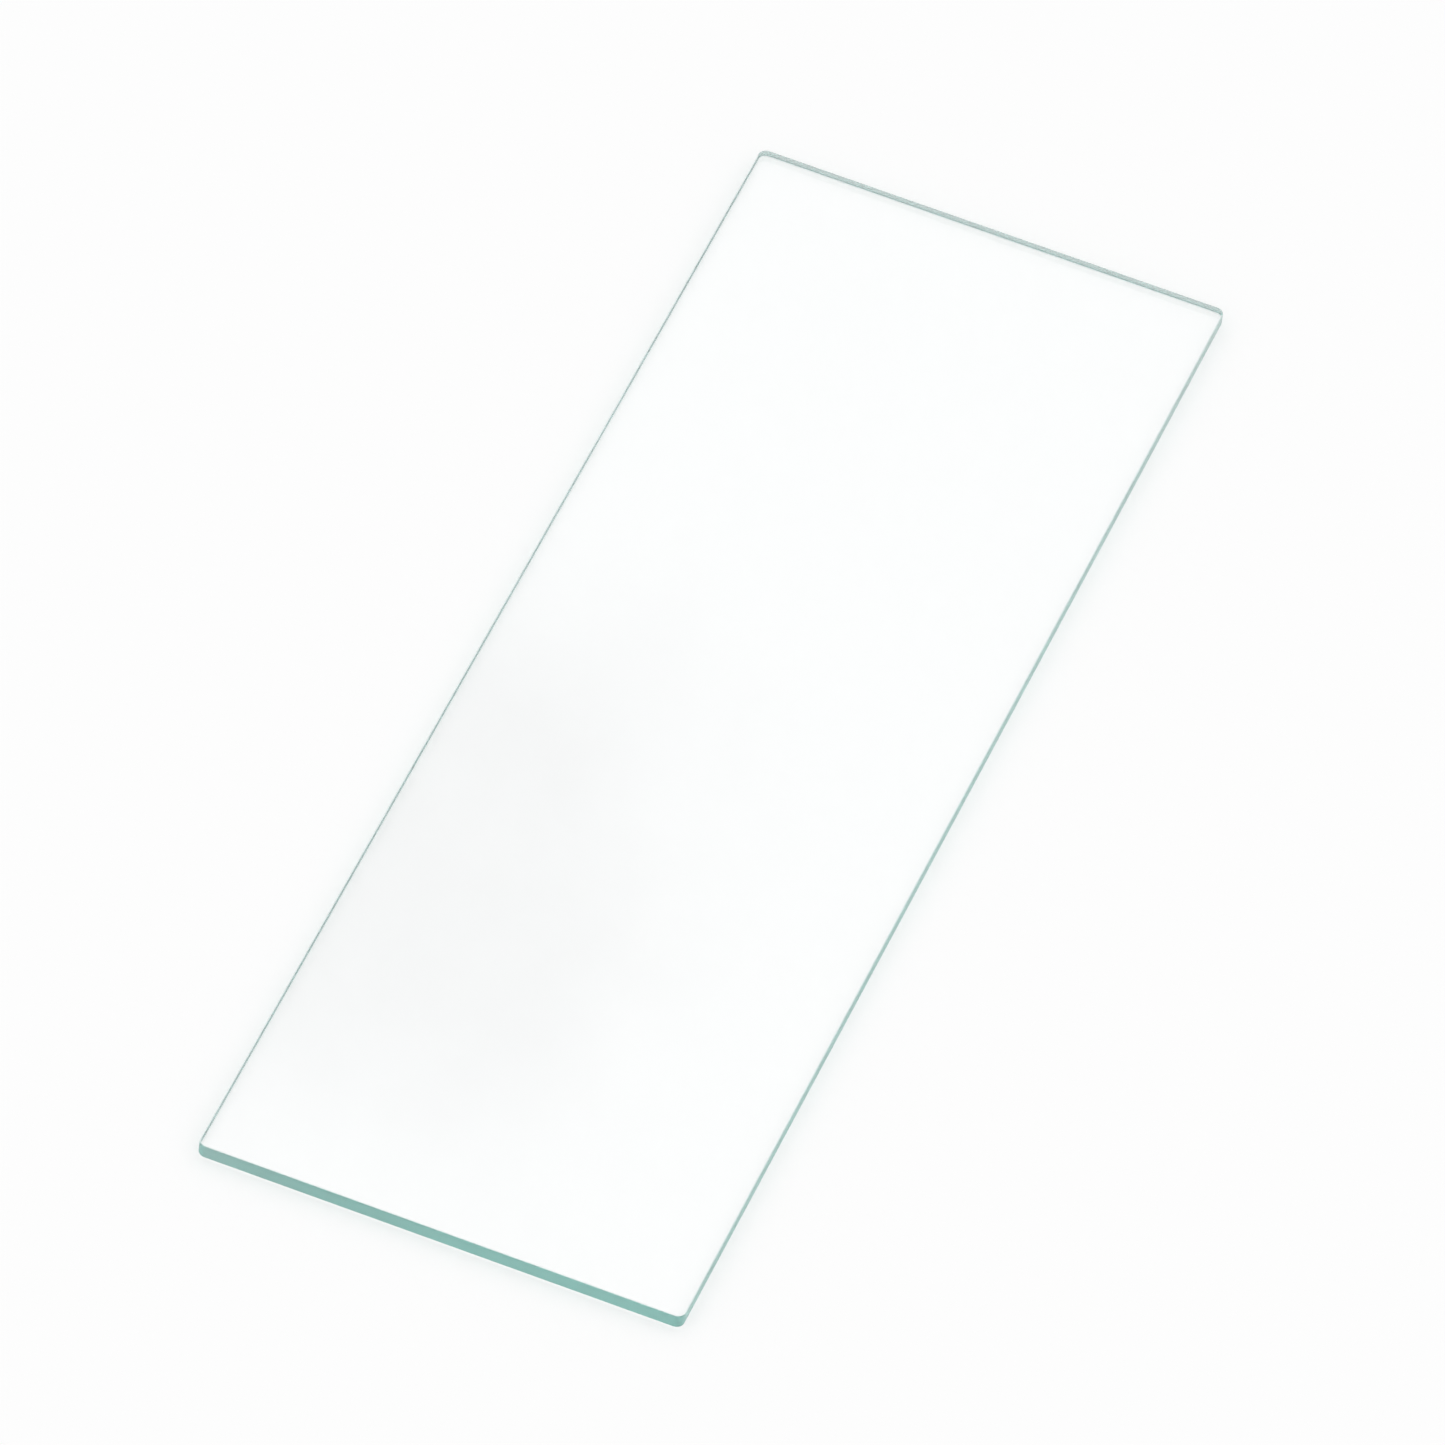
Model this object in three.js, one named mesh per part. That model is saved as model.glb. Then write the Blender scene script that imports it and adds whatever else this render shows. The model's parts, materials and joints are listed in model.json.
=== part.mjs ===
// A plain microscope slide: one flat pane of clear soda-lime glass, cut to a
// three-to-one rectangle, with lightly rounded corners and every sharp edge
// between face and side taken off by a narrow seam that runs right round.
//
// Units are millimetres. The slide lies on the plane z = 0 with +Z up. Its
// length runs along X, its width along Y, and the origin is under its centre.

import * as THREE from "three";

// The pane.
const slideLength = 76.2;
const slideWidth = 25.4;
const glassThickness = 0.8;

// Corners, seen from above.
const cornerRadius = 0.45;

// The seam: how far it reaches in over a face, and how far down the side.
const seamReach = 0.08;
const seamHeight = 0.08;

// Facets: per rounded corner, and across the seam.
const cornerFacets = 12;
const seamFacets = 3;

// The glass, as it looks lying on white.
const glassColor = 0xdff1ee;
const glassOpacity = 0.35;
const glassRoughness = 0.03;

const quarterTurn = Math.PI / 2;

// The slide seen from above: four corner arcs, taken anticlockwise from the
// corner at +X -Y. Each arc draws the straight side that leads up to it.
function slideOutline() {
  const outline = new THREE.Shape();
  const arcCentreX = slideLength / 2 - cornerRadius;
  const arcCentreY = slideWidth / 2 - cornerRadius;
  const cornerSides = [
    [1, -1],
    [1, 1],
    [-1, 1],
    [-1, -1],
  ];
  cornerSides.forEach(([sideX, sideY], index) => {
    const startAngle = (index - 1) * quarterTurn;
    outline.absarc(
      sideX * arcCentreX,
      sideY * arcCentreY,
      cornerRadius,
      startAngle,
      startAngle + quarterTurn,
      false,
    );
  });
  return outline;
}

// The pane is extruded between its two seams. The seams are cut inwards from
// the full outline, so the slide keeps its stated length, width and thickness.
function paneGeometry() {
  return new THREE.ExtrudeGeometry(slideOutline(), {
    depth: glassThickness - 2 * seamHeight,
    curveSegments: cornerFacets,
    bevelEnabled: true,
    bevelThickness: seamHeight,
    bevelSize: seamReach,
    bevelOffset: -seamReach,
    bevelSegments: seamFacets,
  });
}

function glassMaterial() {
  return new THREE.MeshStandardMaterial({
    color: glassColor,
    roughness: glassRoughness,
    metalness: 0,
    transparent: true,
    opacity: glassOpacity,
  });
}

// The underside rests on z = 0, so the extrusion starts one seam above it.
const pane = new THREE.Mesh(paneGeometry(), glassMaterial());
pane.name = "glass_slide";
pane.position.z = seamHeight;

const group = new THREE.Group();
group.name = "microscope_slide";
group.add(pane);

export default group;
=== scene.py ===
"""Dresses the microscope slide: one pane of clear glass that lies on a pale table.

Lengths are in metres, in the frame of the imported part. The slide lies on z = 0,
with its length along X, its width along Y and its origin under its centre.
"""

import json
import logging
import math
from dataclasses import dataclass
from enum import Enum
from typing import Optional, Union

import bmesh
import bpy
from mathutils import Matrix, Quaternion, Vector

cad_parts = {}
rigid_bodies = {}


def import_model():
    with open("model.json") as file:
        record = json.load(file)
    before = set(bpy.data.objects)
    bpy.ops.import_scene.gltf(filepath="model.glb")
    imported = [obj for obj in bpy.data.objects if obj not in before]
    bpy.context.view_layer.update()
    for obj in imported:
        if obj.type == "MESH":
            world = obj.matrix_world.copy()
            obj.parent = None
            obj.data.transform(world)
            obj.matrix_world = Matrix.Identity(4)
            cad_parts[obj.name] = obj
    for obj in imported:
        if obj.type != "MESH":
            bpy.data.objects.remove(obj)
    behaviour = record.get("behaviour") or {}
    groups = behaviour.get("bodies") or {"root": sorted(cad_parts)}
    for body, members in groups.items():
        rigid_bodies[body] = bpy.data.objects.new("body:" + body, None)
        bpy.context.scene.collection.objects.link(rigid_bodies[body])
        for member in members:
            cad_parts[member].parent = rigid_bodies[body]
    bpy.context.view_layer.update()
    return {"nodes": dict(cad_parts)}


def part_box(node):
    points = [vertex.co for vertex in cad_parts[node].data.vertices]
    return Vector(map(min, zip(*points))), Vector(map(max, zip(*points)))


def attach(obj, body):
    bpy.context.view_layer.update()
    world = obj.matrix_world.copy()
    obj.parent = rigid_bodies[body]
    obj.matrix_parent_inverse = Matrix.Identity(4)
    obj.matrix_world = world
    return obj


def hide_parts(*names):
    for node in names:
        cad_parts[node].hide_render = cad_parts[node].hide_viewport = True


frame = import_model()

log = logging.getLogger("microscope_slide")

MM = 0.001
TOUCHING = 1e-6

# How far apart nodes are laid out in the node editor.
NODE_SPACING = 190

# Where the worked rim gives way to the polished face, and the side to the seam, as
# shares of the seam's reach.
RIM_FADE_FROM = 0.8
RIM_FADE_TO = 0.98
SIDE_FADE_TO = 0.06

Color = tuple[float, float, float, float]
Triple = tuple[float, float, float]
Feed = Union[bpy.types.NodeSocket, float, tuple]


class EdgeWork(Enum):
    """How the cut edges of a pane are worked, and how rough that leaves its sides and seams."""

    CUT = (0.06, 0.06)
    SEAMED = (0.6, 0.3)
    GROUND = (0.8, 0.9)


# ---------------------------------------------------------------------------
# Node trees


class NodeSheet:
    """Adds nodes to one node tree and wires them as it goes."""

    def __init__(self, tree: bpy.types.NodeTree) -> None:
        """Start on an empty tree.

        Args:
            tree: The tree that the nodes go into. What it holds is cleared.
        """
        self.tree = tree
        tree.nodes.clear()

    def add(self, kind: str, **settings: object) -> bpy.types.Node:
        """Add one node.

        Args:
            kind: The node's type name.
            settings: Properties to set on it, such as its operation.

        Returns:
            The new node.
        """
        node = self.tree.nodes.new(kind)
        node.location = (NODE_SPACING * len(self.tree.nodes), 0)
        for name, value in settings.items():
            setattr(node, name, value)
        return node

    def feed(self, socket: bpy.types.NodeSocket, source: Feed) -> None:
        """Wire a source into a socket, or write a plain value on it.

        Args:
            socket: The input that is fed.
            source: An output socket, a number or a tuple of numbers.
        """
        if isinstance(source, bpy.types.NodeSocket):
            self.tree.links.new(source, socket)
        else:
            socket.default_value = source

    def math(self, operation: str, *feeds: Feed, clamp: bool = False) -> bpy.types.NodeSocket:
        """Add a Math node.

        Args:
            operation: The sum it does, such as MULTIPLY.
            feeds: Its inputs, in order.
            clamp: Whether the result is held between 0 and 1.

        Returns:
            Its result.
        """
        node = self.add("ShaderNodeMath", operation=operation, use_clamp=clamp)
        for socket, source in zip(node.inputs, feeds):
            self.feed(socket, source)
        return node.outputs["Value"]

    def vector(self, operation: str, *feeds: Feed) -> bpy.types.Node:
        """Add a Vector Math node.

        Args:
            operation: The sum it does, such as DOT_PRODUCT.
            feeds: Its inputs, in order.

        Returns:
            The node, since its result may be a vector or a value.
        """
        node = self.add("ShaderNodeVectorMath", operation=operation)
        for socket, source in zip(node.inputs, feeds):
            self.feed(socket, source)
        return node

    def fade(
        self, source: Feed, start: Feed, end: Feed, low: Feed = 0.0, high: Feed = 1.0
    ) -> bpy.types.NodeSocket:
        """Turn a value smoothly from one level to another between two points.

        Args:
            source: The value that is read.
            start: Where the turn starts.
            end: Where it ends.
            low: The level before the start.
            high: The level after the end.

        Returns:
            The level.
        """
        node = self.add("ShaderNodeMapRange", interpolation_type="SMOOTHSTEP")
        for name, value in (
            ("Value", source),
            ("From Min", start),
            ("From Max", end),
            ("To Min", low),
            ("To Max", high),
        ):
            self.feed(node.inputs[name], value)
        return node.outputs["Result"]

    def blend(self, share: Feed, first: Feed, second: Feed) -> bpy.types.NodeSocket:
        """Mix two colours.

        Args:
            share: 0 for the first colour, 1 for the second.
            first: A colour.
            second: A colour.

        Returns:
            The mixed colour.
        """
        node = self.add("ShaderNodeMix", data_type="RGBA")
        self.feed(node.inputs[0], share)
        self.feed(node.inputs[6], first)
        self.feed(node.inputs[7], second)
        return node.outputs[2]

    def group(self, tree: bpy.types.NodeTree, **feeds: Feed) -> bpy.types.Node:
        """Place a node group.

        Args:
            tree: The group's tree.
            feeds: Its inputs by name, with _ for each space.

        Returns:
            The group's node.
        """
        node = self.add("ShaderNodeGroup", node_tree=tree)
        for name, source in feeds.items():
            self.feed(node.inputs[name.replace("_", " ")], source)
        return node


def new_group(name: str, inputs: dict[str, str], outputs: dict[str, str]) -> tuple:
    """Start a shader node group with named sockets.

    Args:
        name: The group's name.
        inputs: Each input's name and socket type.
        outputs: Each output's name and socket type.

    Returns:
        The group's tree, a sheet to draw it on, and its inner input and output nodes.
    """
    tree = bpy.data.node_groups.new(name, "ShaderNodeTree")
    for direction, sockets in (("INPUT", inputs), ("OUTPUT", outputs)):
        for socket_name, kind in sockets.items():
            tree.interface.new_socket(socket_name, in_out=direction, socket_type=kind)
    sheet = NodeSheet(tree)
    return tree, sheet, sheet.add("NodeGroupInput"), sheet.add("NodeGroupOutput")


def rim_group() -> bpy.types.NodeTree:
    """Build the group that says how near a point is to the outline of a round-cornered pane.

    Returns:
        A group whose Rim is 1 on the sides and seams and 0 on the flat faces, and whose Seam
        is 1 on the seams only.
    """
    tree, sheet, given, result = new_group(
        "pane_rim",
        {
            "Point": "NodeSocketVector",
            "Half Length": "NodeSocketFloat",
            "Half Width": "NodeSocketFloat",
            "Corner Radius": "NodeSocketFloat",
            "Seam Reach": "NodeSocketFloat",
        },
        {"Rim": "NodeSocketFloat", "Seam": "NodeSocketFloat"},
    )
    around = sheet.add("ShaderNodeSeparateXYZ")
    sheet.feed(around.inputs[0], sheet.vector("ABSOLUTE", given.outputs["Point"]).outputs["Vector"])
    radius = given.outputs["Corner Radius"]
    past = []
    for axis, half in (("X", "Half Length"), ("Y", "Half Width")):
        start = sheet.math("SUBTRACT", given.outputs[half], radius)
        past.append(sheet.math("SUBTRACT", around.outputs[axis], start))
    square = [sheet.math("POWER", sheet.math("MAXIMUM", p, 0.0), 2.0) for p in past]
    in_corner = sheet.math("SQRT", sheet.math("ADD", *square))
    along_side = sheet.math("MINIMUM", sheet.math("MAXIMUM", *past), 0.0)
    inset = sheet.math("SUBTRACT", radius, sheet.math("ADD", in_corner, along_side))
    reach = given.outputs["Seam Reach"]
    rim_from = sheet.math("MULTIPLY", reach, RIM_FADE_FROM)
    rim_to = sheet.math("MULTIPLY", reach, RIM_FADE_TO)
    rim = sheet.fade(inset, rim_from, rim_to, 1.0, 0.0)
    off_side = sheet.fade(inset, 0.0, sheet.math("MULTIPLY", reach, SIDE_FADE_TO))
    sheet.feed(result.inputs["Rim"], rim)
    sheet.feed(result.inputs["Seam"], sheet.math("MULTIPLY", rim, off_side))
    return tree


def mottle_group() -> bpy.types.NodeTree:
    """Build the group that makes soft, uneven patches, stretched as its input says.

    Returns:
        A group whose Value runs from -1 to 1 about 0.
    """
    tree, sheet, given, result = new_group(
        "soft_mottle",
        {
            "Point": "NodeSocketVector",
            "Patches Each Way": "NodeSocketVector",
            "Detail": "NodeSocketFloat",
        },
        {"Value": "NodeSocketFloat"},
    )
    spread = sheet.vector("MULTIPLY", given.outputs["Point"], given.outputs["Patches Each Way"])
    noise = sheet.add("ShaderNodeTexNoise")
    sheet.feed(noise.inputs["Vector"], spread.outputs["Vector"])
    sheet.feed(noise.inputs["Scale"], 1.0)
    sheet.feed(noise.inputs["Detail"], given.outputs["Detail"])
    sheet.feed(noise.inputs["Roughness"], 0.5)
    centred = sheet.math("MULTIPLY_ADD", noise.outputs["Fac"], 2.0, -1.0)
    sheet.feed(result.inputs["Value"], centred)
    return tree


# ---------------------------------------------------------------------------
# The pane


@dataclass(frozen=True)
class PaneSizes:
    """The sizes of a pane of glass, in metres."""

    centre: Vector
    length: float
    width: float
    thickness: float
    corner_radius: float
    seam: float

    @classmethod
    def of_node(cls, name: str) -> "PaneSizes":
        """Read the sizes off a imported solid.

        Args:
            name: The CAD node.

        Returns:
            Its sizes.
        """
        lowest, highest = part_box(name)
        points = [vertex.co for vertex in frame["nodes"][name].data.vertices]
        top = [p for p in points if highest.z - p.z < TOUCHING]
        end = [p for p in points if highest.x - p.x < TOUCHING]
        return cls(
            centre=(lowest + highest) / 2,
            length=highest.x - lowest.x,
            width=highest.y - lowest.y,
            thickness=highest.z - lowest.z,
            corner_radius=highest.y - max(p.y for p in end),
            seam=highest.x - max(p.x for p in top),
        )


@dataclass(frozen=True)
class ClearGlass:
    """Clear soda-lime glass: colourless through a face, blue-green through an edge.

    The absorption is per metre of red, green and blue. The film is the grey skin that
    cutting and seaming leave on the rim. It dims only light that meets it from within.
    The reliefs are heights in metres, and each set of patches is a count per metre
    along X, Y and Z.
    """

    absorption: Triple = (11.2, 3.4, 4.4)
    density: float = 20.0
    face_colour: Color = (1.0, 1.0, 1.0, 1.0)
    rim_colour: Color = (0.90, 0.95, 0.94, 1.0)
    rim_film: Color = (0.86, 0.87, 0.87, 1.0)
    film_roughness: float = 0.5
    refraction: float = 1.52
    edge_work: EdgeWork = EdgeWork.SEAMED
    edge_unevenness: float = 0.03
    edge_patches: Triple = (900.0, 900.0, 500.0)
    face_haze: float = 0.012
    haze_patches: Triple = (55.0, 70.0, 55.0)
    draw_relief: float = 4e-7
    draw_waves: Triple = (12.0, 60.0, 12.0)
    score_relief: float = 1e-5
    score_marks: Triple = (450.0, 450.0, 700.0)

    def build(self, sizes: PaneSizes) -> bpy.types.Material:
        """Make the material for a pane of the given sizes.

        Args:
            sizes: The pane's sizes, which place its rim.

        Returns:
            The material.
        """
        material = bpy.data.materials.new("clear_soda_lime_glass")
        material.use_nodes = True
        sheet = NodeSheet(material.node_tree)
        point = sheet.add("ShaderNodeTexCoord").outputs["Object"]
        zones = sheet.group(
            rim_group(),
            Point=point,
            Half_Length=sizes.length / 2,
            Half_Width=sizes.width / 2,
            Corner_Radius=sizes.corner_radius,
            Seam_Reach=sizes.seam,
        )
        rim, seam = zones.outputs["Rim"], zones.outputs["Seam"]
        mottle = mottle_group()
        shader = sheet.add("ShaderNodeBsdfPrincipled")
        shader.inputs["IOR"].default_value = self.refraction
        shader.inputs["Transmission Weight"].default_value = 1.0
        sheet.feed(shader.inputs["Base Color"], sheet.blend(rim, self.face_colour, self.rim_colour))
        sheet.feed(shader.inputs["Roughness"], self._roughness(sheet, mottle, point, rim, seam))
        sheet.feed(shader.inputs["Normal"], self._relief(sheet, mottle, point, rim))
        inside = sheet.add("ShaderNodeNewGeometry").outputs["Backfacing"]
        sheet.feed(shader.inputs["Coat Weight"], sheet.math("MULTIPLY", rim, inside))
        shader.inputs["Coat Roughness"].default_value = self.film_roughness
        shader.inputs["Coat Tint"].default_value = self.rim_film
        result = sheet.add("ShaderNodeOutputMaterial")
        sheet.feed(result.inputs["Surface"], shader.outputs["BSDF"])
        sheet.feed(result.inputs["Volume"], self._body(sheet))
        return material

    def _roughness(
        self, sheet: NodeSheet, mottle: bpy.types.NodeTree, point: Feed, rim: Feed, seam: Feed
    ) -> Feed:
        """Leave the faces polished, with a breath of haze, and the rim as it was worked.

        Args:
            sheet: The material's nodes.
            mottle: The group that makes uneven patches.
            point: The place on the pane.
            rim: 1 on the sides and seams.
            seam: 1 on the seams.

        Returns:
            The roughness.
        """
        hazy = sheet.group(mottle, Point=point, Patches_Each_Way=self.haze_patches, Detail=3.0)
        worked = sheet.group(mottle, Point=point, Patches_Each_Way=self.edge_patches, Detail=2.0)
        above = sheet.math("MAXIMUM", hazy.outputs["Value"], 0.0)
        haze = sheet.math("MULTIPLY", above, self.face_haze)
        side, ground = self.edge_work.value
        level = sheet.math("MULTIPLY_ADD", seam, ground - side, side)
        work = sheet.math("MULTIPLY_ADD", worked.outputs["Value"], self.edge_unevenness, level)
        mix = sheet.add("ShaderNodeMix", data_type="FLOAT")
        sheet.feed(mix.inputs[0], rim)
        sheet.feed(mix.inputs[2], haze)
        sheet.feed(mix.inputs[3], work)
        return mix.outputs[0]

    def _relief(self, sheet: NodeSheet, mottle: bpy.types.NodeTree, point: Feed, rim: Feed) -> Feed:
        """Give the faces the long waves of drawn sheet, and the rim the marks of its cutting.

        Args:
            sheet: The material's nodes.
            mottle: The group that makes uneven patches.
            point: The place on the pane.
            rim: 1 on the sides and seams.

        Returns:
            The normal.
        """
        drawn = sheet.group(mottle, Point=point, Patches_Each_Way=self.draw_waves, Detail=1.0)
        scored = sheet.group(mottle, Point=point, Patches_Each_Way=self.score_marks, Detail=3.0)
        face = sheet.math("MULTIPLY", drawn.outputs["Value"], self.draw_relief)
        side = sheet.math("MULTIPLY", scored.outputs["Value"], self.score_relief)
        mix = sheet.add("ShaderNodeMix", data_type="FLOAT")
        sheet.feed(mix.inputs[0], rim)
        sheet.feed(mix.inputs[2], face)
        sheet.feed(mix.inputs[3], side)
        bump = sheet.add("ShaderNodeBump")
        bump.inputs["Strength"].default_value = 1.0
        bump.inputs["Distance"].default_value = 1.0
        sheet.feed(bump.inputs["Height"], mix.outputs[0])
        return bump.outputs["Normal"]

    def _body(self, sheet: NodeSheet) -> bpy.types.NodeSocket:
        """Colour the glass by its depth.

        Args:
            sheet: The material's nodes.

        Returns:
            The volume.
        """
        volume = sheet.add("ShaderNodeVolumeAbsorption")
        red, green, blue = (1 - taken / self.density for taken in self.absorption)
        volume.inputs["Density"].default_value = self.density
        volume.inputs["Color"].default_value = (red, green, blue, 1.0)
        return volume.outputs["Volume"]


@dataclass
class GlassSlide:
    """The pane itself, which stands for the CAD node of the same shape."""

    sizes: PaneSizes
    finish: ClearGlass
    node: str = "glass_slide"
    body: str = "root"
    slot: str = "clear_glass"
    corner_steps: int = 16
    seam_steps: int = 4
    smooth_below: float = math.radians(40)
    pane: Optional[bpy.types.Object] = None

    def build(self) -> None:
        """Model the pane, dress it and hang it on the frame."""
        self._add_blank()
        self._round_corners()
        self._seam_rims()
        self._even_normals()
        self.pane.data.materials.clear()
        self.pane.data.materials.append(self.finish.build(self.sizes))
        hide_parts(self.node)
        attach(self.pane, self.body)
        log.info("glass_pane: %d faces, rides on %s", len(self.pane.data.polygons), self.body)

    def _add_blank(self) -> None:
        """Add the square-edged blank, at its size and place."""
        deselect_all()
        bpy.ops.mesh.primitive_cube_add(size=1.0, location=self.sizes.centre)
        self.pane = bpy.context.object
        self.pane.name = "glass_pane"
        self.pane.data.name = "glass_pane"
        self.pane.scale = (self.sizes.length, self.sizes.width, self.sizes.thickness)
        bpy.ops.object.transform_apply(location=True, rotation=True, scale=True)

    def _round_corners(self) -> None:
        """Round the four upright edges."""
        self._bevel_edges(upright=True, offset=self.sizes.corner_radius, steps=self.corner_steps)

    def _seam_rims(self) -> None:
        """Take the sharpness off both rims, round the corners too."""
        self._bevel_edges(upright=False, offset=self.sizes.seam, steps=self.seam_steps)

    def _bevel_edges(self, upright: bool, offset: float, steps: int) -> None:
        """Bevel either the upright edges or the level ones.

        Args:
            upright: True for the upright edges, False for the level ones.
            offset: How far the bevel reaches along each face.
            steps: How many faces it has across.
        """
        bpy.ops.object.mode_set(mode="EDIT")
        bpy.ops.mesh.select_mode(type="EDGE")
        bpy.ops.mesh.select_all(action="DESELECT")
        mesh = bmesh.from_edit_mesh(self.pane.data)
        for edge in mesh.edges:
            rise = abs(edge.verts[0].co.z - edge.verts[1].co.z)
            edge.select = (rise > TOUCHING) == upright
        bmesh.update_edit_mesh(self.pane.data)
        bpy.ops.mesh.bevel(offset=offset, segments=steps, profile=0.5, affect="EDGES")
        bpy.ops.object.mode_set(mode="OBJECT")

    def _even_normals(self) -> None:
        """Shade the bevels smooth, with the wide faces left dead flat."""
        bpy.ops.object.shade_smooth_by_angle(angle=self.smooth_below)
        weighted = self.pane.modifiers.new("flat_faces", "WEIGHTED_NORMAL")
        weighted.mode = "FACE_AREA"
        weighted.weight = 100
        weighted.keep_sharp = True
        bpy.ops.object.modifier_apply(modifier=weighted.name)


# ---------------------------------------------------------------------------
# The setting


def deselect_all() -> None:
    """Deselect every object."""
    for thing in bpy.context.scene.objects:
        thing.select_set(False)


def seen_rays(sheet: NodeSheet) -> bpy.types.NodeSocket:
    """Tell the rays that show a thing from the rays that light one.

    Args:
        sheet: The nodes of the material or world.

    Returns:
        1 for what is seen directly, in a reflection or through glass, and 0 for light.
    """
    path = sheet.add("ShaderNodeLightPath")
    straight = sheet.math("MAXIMUM", path.outputs["Is Camera Ray"], path.outputs["Is Glossy Ray"])
    return sheet.math("MAXIMUM", straight, path.outputs["Is Transmission Ray"])


@dataclass
class Table:
    """The plain white surface that the slide lies on.

    The gap under the slide is the hair's breadth of air that parts glass from a table.
    The glow whitens what is seen of the table, and lights nothing.
    """

    side: float = 12.0
    gap: float = 0.05 * MM
    colour: float = 0.50
    glow: float = 0.485

    def build(self) -> None:
        """Add the table under the slide."""
        deselect_all()
        bpy.ops.mesh.primitive_plane_add(size=self.side, location=(0.0, 0.0, -self.gap))
        top = bpy.context.object
        top.name = "table"
        top.data.materials.append(self._white())
        log.info("table: %.0f m square", self.side)

    def _white(self) -> bpy.types.Material:
        """Make the matt white of the table.

        Returns:
            The material.
        """
        material = bpy.data.materials.new("matt_white")
        material.use_nodes = True
        sheet = NodeSheet(material.node_tree)
        matt = sheet.add("ShaderNodeBsdfDiffuse")
        matt.inputs["Color"].default_value = (self.colour, self.colour, self.colour, 1.0)
        glow = sheet.add("ShaderNodeEmission")
        sheet.feed(glow.inputs["Strength"], sheet.math("MULTIPLY", seen_rays(sheet), self.glow))
        both = sheet.add("ShaderNodeAddShader")
        sheet.feed(both.inputs[0], matt.outputs["BSDF"])
        sheet.feed(both.inputs[1], glow.outputs["Emission"])
        result = sheet.add("ShaderNodeOutputMaterial")
        sheet.feed(result.inputs["Surface"], both.outputs["Shader"])
        return material


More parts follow.
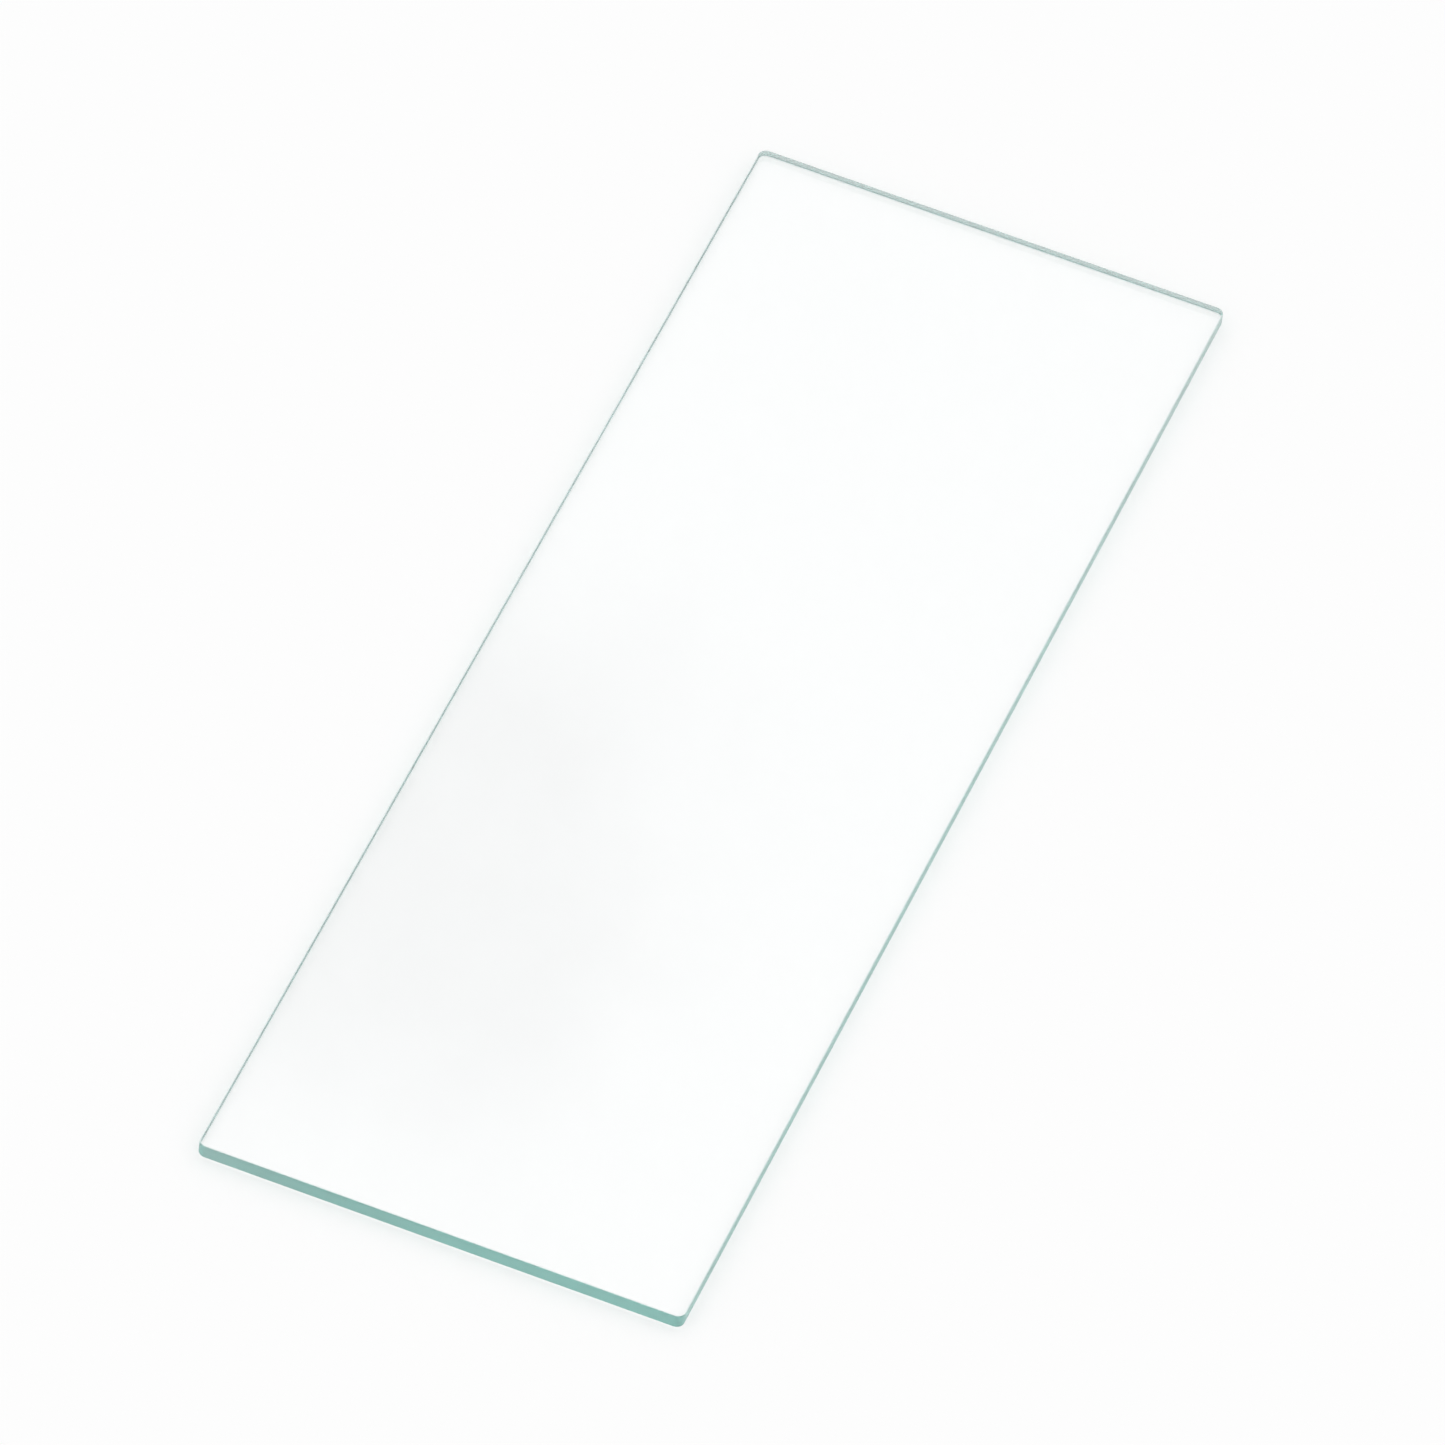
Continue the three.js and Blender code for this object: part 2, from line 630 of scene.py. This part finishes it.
@dataclass
class LightTent:
    """A white tent that lights the slide softly from all round, a little less from low down.

    The cloud is a faint shaded patch of the tent's cloth. It is too small to change the
    light, but the polished faces mirror it. Its place is the way towards it, and its
    edge runs between two shares of its reach.
    """

    low: float = 0.55
    overhead: float = 1.22
    backdrop: float = 0.98
    cloud_place: Triple = (0.6561, 0.1950, 0.7290)
    cloud_reach: float = 0.024
    cloud_edge: tuple[float, float] = (0.5, 1.5)
    cloud_depth: float = 0.7
    cloud_patches: float = 90.0
    cloud_detail: float = 3.0

    def build(self) -> None:
        """Make the tent as the scene's world."""
        world = bpy.data.worlds.new("light_tent")
        world.use_nodes = True
        bpy.context.scene.world = world
        sheet = NodeSheet(world.node_tree)
        way = sheet.add("ShaderNodeTexCoord").outputs["Generated"]
        level = sheet.math("MULTIPLY", self._cloth(sheet, way), self._cloud(sheet, way))
        seen = sheet.add("ShaderNodeLightPath").outputs["Is Camera Ray"]
        mix = sheet.add("ShaderNodeMix", data_type="FLOAT")
        sheet.feed(mix.inputs[0], seen)
        sheet.feed(mix.inputs[2], level)
        sheet.feed(mix.inputs[3], self.backdrop)
        background = sheet.add("ShaderNodeBackground")
        sheet.feed(background.inputs["Strength"], mix.outputs[0])
        background.inputs["Color"].default_value = (1.0, 1.0, 1.0, 1.0)
        result = sheet.add("ShaderNodeOutputWorld")
        sheet.feed(result.inputs["Surface"], background.outputs["Background"])
        log.info("light tent: level %.2f low down, %.2f overhead", self.low, self.overhead)

    def _cloth(self, sheet: NodeSheet, way: bpy.types.NodeSocket) -> bpy.types.NodeSocket:
        """Brighten the tent from its foot to its top.

        Args:
            sheet: The world's nodes.
            way: The way that a ray looks.

        Returns:
            The tent's level.
        """
        parts = sheet.add("ShaderNodeSeparateXYZ")
        sheet.feed(parts.inputs[0], way)
        height = sheet.math("MAXIMUM", parts.outputs["Z"], 0.0)
        return sheet.math("MULTIPLY_ADD", height, self.overhead - self.low, self.low)

    def _cloud(self, sheet: NodeSheet, way: bpy.types.NodeSocket) -> bpy.types.NodeSocket:
        """Shade one small patch of the tent, with soft and uneven edges.

        Args:
            sheet: The world's nodes.
            way: The way that a ray looks.

        Returns:
            The share of the level that is left.
        """
        noise = sheet.add("ShaderNodeTexNoise")
        sheet.feed(noise.inputs["Vector"], way)
        sheet.feed(noise.inputs["Scale"], self.cloud_patches)
        sheet.feed(noise.inputs["Detail"], self.cloud_detail)
        away = sheet.vector("DISTANCE", way, self.cloud_place).outputs["Value"]
        ragged = sheet.math("MULTIPLY_ADD", noise.outputs["Fac"], self.cloud_reach, away)
        inner, outer = (share * self.cloud_reach for share in self.cloud_edge)
        return sheet.fade(ragged, inner, outer, 1.0 - self.cloud_depth, 1.0)


@dataclass
class ViewCamera:
    """A long lens that looks down on the slide from one end.

    Azimuth 0 looks along +Y, and the roll turns the camera about its own line of sight. The
    angles are in degrees, the lens is in millimetres.
    """

    target: Vector
    azimuth: float = -74.93
    elevation: float = 46.36
    roll: float = 8.5
    distance: float = 0.990
    lens: float = 496.9
    sensor: float = 36.0
    nearest: float = 0.01
    farthest: float = 20.0

    def build(self) -> None:
        """Add the camera and make it the scene's own."""
        turn, rise = math.radians(self.azimuth), math.radians(self.elevation)
        back = Vector(
            (
                math.sin(turn) * math.cos(rise),
                -math.cos(turn) * math.cos(rise),
                math.sin(rise),
            )
        )
        camera = bpy.data.objects.new("view_camera", bpy.data.cameras.new("view_camera"))
        bpy.context.scene.collection.objects.link(camera)
        camera.data.lens = self.lens
        camera.data.sensor_width = self.sensor
        camera.data.clip_start = self.nearest
        camera.data.clip_end = self.farthest
        camera.location = self.target + back * self.distance
        camera.rotation_mode = "QUATERNION"
        level = (-back).to_track_quat("-Z", "Y")
        camera.rotation_quaternion = level @ Quaternion((0.0, 0.0, 1.0), math.radians(self.roll))
        bpy.context.scene.camera = camera
        log.info("camera: azimuth %.1f, elevation %.1f", self.azimuth, self.elevation)


def set_light_paths(bounces: int = 128) -> None:
    """Let light run its full way inside the glass, which carries it from end to end.

    Args:
        bounces: The most times that a ray may turn.
    """
    scene = bpy.context.scene
    scene.view_settings.view_transform = "Standard"
    scene.cycles.blur_glossy = 0.0
    scene.cycles.max_bounces = bounces
    scene.cycles.glossy_bounces = bounces
    scene.cycles.transmission_bounces = bounces


def main() -> None:
    """Build the slide and its setting, one after another."""
    logging.basicConfig(level=logging.INFO, format="%(name)s: %(message)s")
    sizes = PaneSizes.of_node("glass_slide")
    for part in (
        GlassSlide(sizes, ClearGlass()),
        Table(),
        LightTent(),
        ViewCamera(sizes.centre),
    ):
        part.build()
    set_light_paths()


if __name__ == "__main__":
    main()
